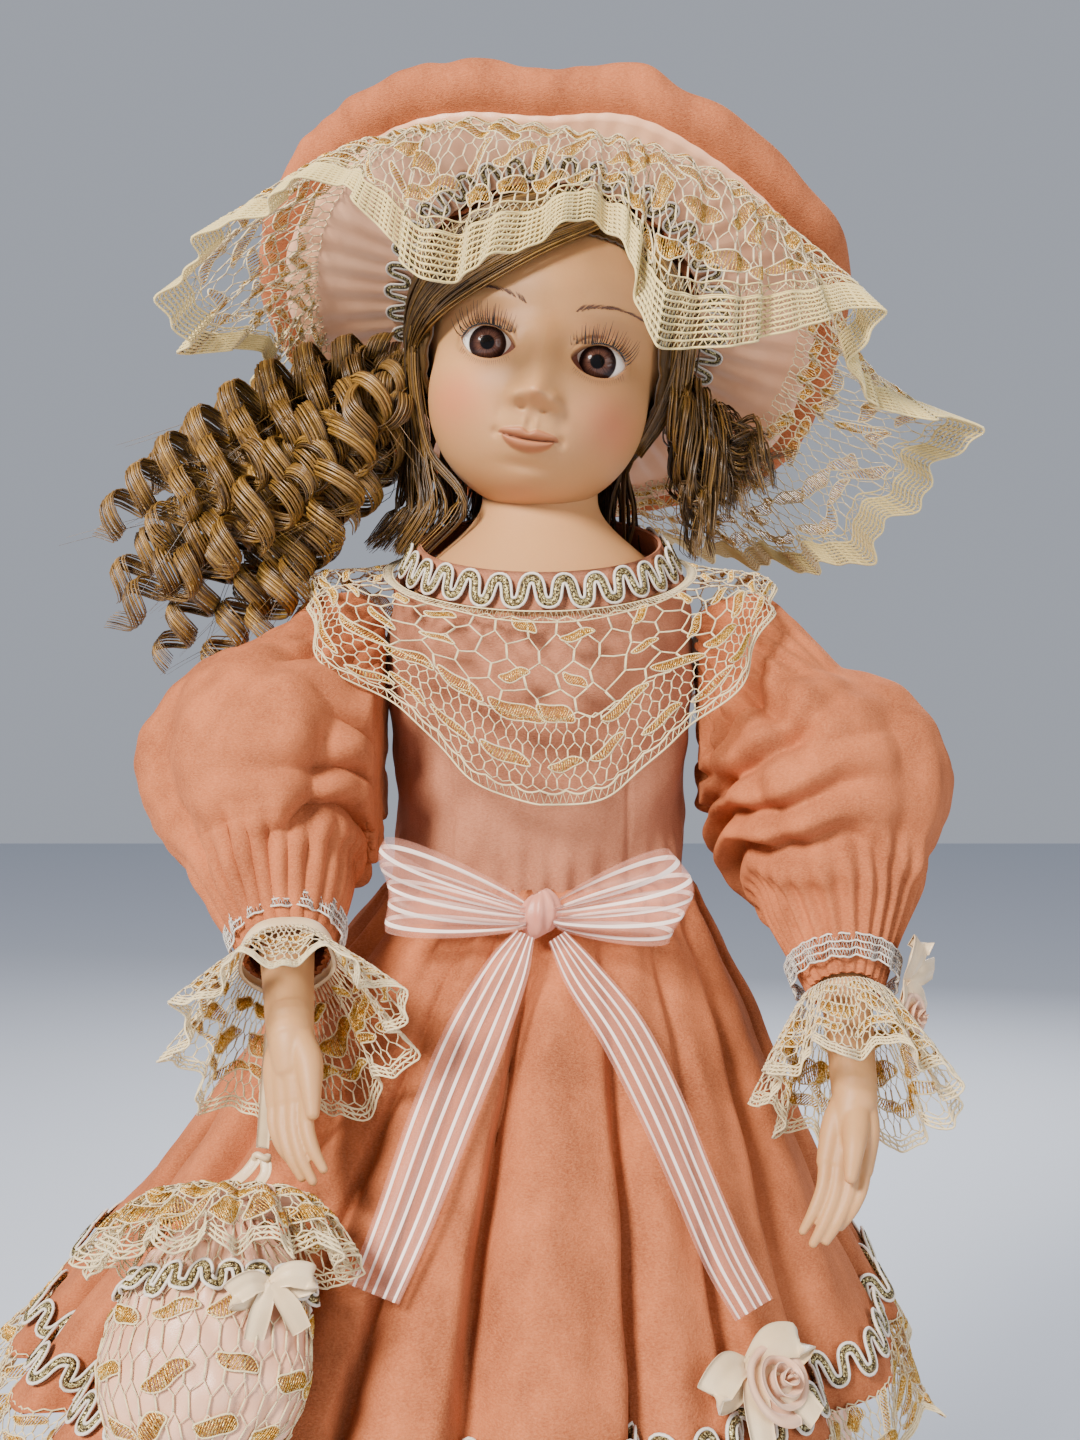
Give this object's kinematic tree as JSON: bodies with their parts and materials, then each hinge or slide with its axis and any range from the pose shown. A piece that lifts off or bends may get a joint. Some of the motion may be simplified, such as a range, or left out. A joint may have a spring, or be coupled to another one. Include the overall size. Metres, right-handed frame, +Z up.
{
  "type": "porcelain doll",
  "caption": "Dressed porcelain doll with cloth body, velvet puff-sleeve dress with lace, brimmed hat and wrist purse, on a waist-clip stand.",
  "frame": {"origin": "centre of the underside of the stand's base", "axes": "+Z up; the doll faces -Y, and her right side is at -X"},
  "size_m": [0.2605, 0.2604, 0.5228],
  "materials": {
    "velvet": "soft pile",
    "satin": "satin sheen",
    "lace": "open net with metallic thread",
    "braid": "cord with metallic thread",
    "organza": "sheer with satin stripes",
    "ribbon": "satin",
    "bisque": "matte unglazed",
    "cloth": "matte",
    "cotton": "matte",
    "hair": "silky fibre",
    "eye": "gloss",
    "lash": "matte",
    "steel": "satin",
    "clip": "smooth",
    "wood": "varnished",
    "felt": "matte",
    "leather": "soft",
    "sole": "matte",
    "pate": "matte"
  },
  "bodies": {
    "stand": {"base_felt": "felt", "stand_base": "wood", "stand_tube": "steel"},
    "doll": {"stand_rod": "steel", "waist_clip": "clip", "torso": "cloth", "head": "bisque", "crown_cap": "pate", "eye_right": "eye", "eye_left": "eye", "eyelashes_right": "lash", "eyelashes_left": "lash", "wig": "hair", "ringlets": "hair", "bodice": "velvet", "neck_braid": "braid", "lace_collar": "lace", "back_snaps": "steel", "bow_loops": "organza", "bow_knot": "organza", "bow_tail_right": "organza", "bow_tail_left": "organza", "overskirt": "velvet", "overskirt_braid": "braid", "overskirt_lace": "lace", "hem_rose": "satin", "underskirt": "velvet", "underskirt_lace": "lace", "petticoat": "cotton", "pantaloon_seat": "cotton"},
    "arm_right": {"upper_arm_right": "cloth", "sleeve_right": "velvet", "forearm_right": "bisque", "cuff_lace_right": "lace", "wrist_ribbon": "ribbon"},
    "purse": {"purse_ribbon": "ribbon", "purse_bag": "satin", "purse_frill": "lace"},
    "arm_left": {"upper_arm_left": "cloth", "sleeve_left": "velvet", "forearm_left": "bisque", "cuff_lace_left": "lace", "cuff_rose": "satin"},
    "leg_right": {"thigh_right": "cloth", "pantaloon_right": "cotton", "lower_leg_right": "bisque", "shoe_right": "leather", "shoe_sole_right": "sole"},
    "leg_left": {"thigh_left": "cloth", "pantaloon_left": "cotton", "lower_leg_left": "bisque", "shoe_left": "leather", "shoe_sole_left": "sole"},
    "hat": {"hat_crown": "velvet", "hat_brim": "velvet", "hat_lining": "satin", "hat_lace": "lace", "hat_braid": "braid"}
  },
  "joints": [
    {"name": "stand_height", "type": "slide", "parent": "stand", "child": "doll", "axis": [0, 0, 1], "range_m": [0, 0.04]},
    {"name": "shoulder_right", "type": "hinge", "parent": "doll", "child": "arm_right", "pos_m": [-0.05, 0, 0.37], "axis": [-1, 0, 0], "range_deg": [0, 45], "deforming": ["lace_collar", "ringlets"]},
    {"name": "purse_swing", "type": "hinge", "parent": "arm_right", "child": "purse", "pos_m": [-0.06, -0.084, 0.258], "axis": [-1, 0, 0], "range_deg": [-79, 0]},
    {"name": "shoulder_left", "type": "hinge", "parent": "doll", "child": "arm_left", "pos_m": [0.05, 0, 0.37], "axis": [-1, 0, 0], "range_deg": [0, 45], "deforming": ["lace_collar"]},
    {"name": "hip_right", "type": "hinge", "parent": "doll", "child": "leg_right", "pos_m": [-0.0175, 0, 0.252], "axis": [-1, 0, 0], "range_deg": [0, 15]},
    {"name": "hip_left", "type": "hinge", "parent": "doll", "child": "leg_left", "pos_m": [0.0175, 0, 0.252], "axis": [-1, 0, 0], "range_deg": [0, 15]},
    {"name": "hat_lift", "type": "slide", "parent": "doll", "child": "hat", "axis": [0.135, 0.6293, 0.7653], "range_m": [0, 0.06]}
  ],
  "couplings": [
    {"joint": "purse_swing", "follows": "shoulder_right", "ratio": -1.75}
  ]
}
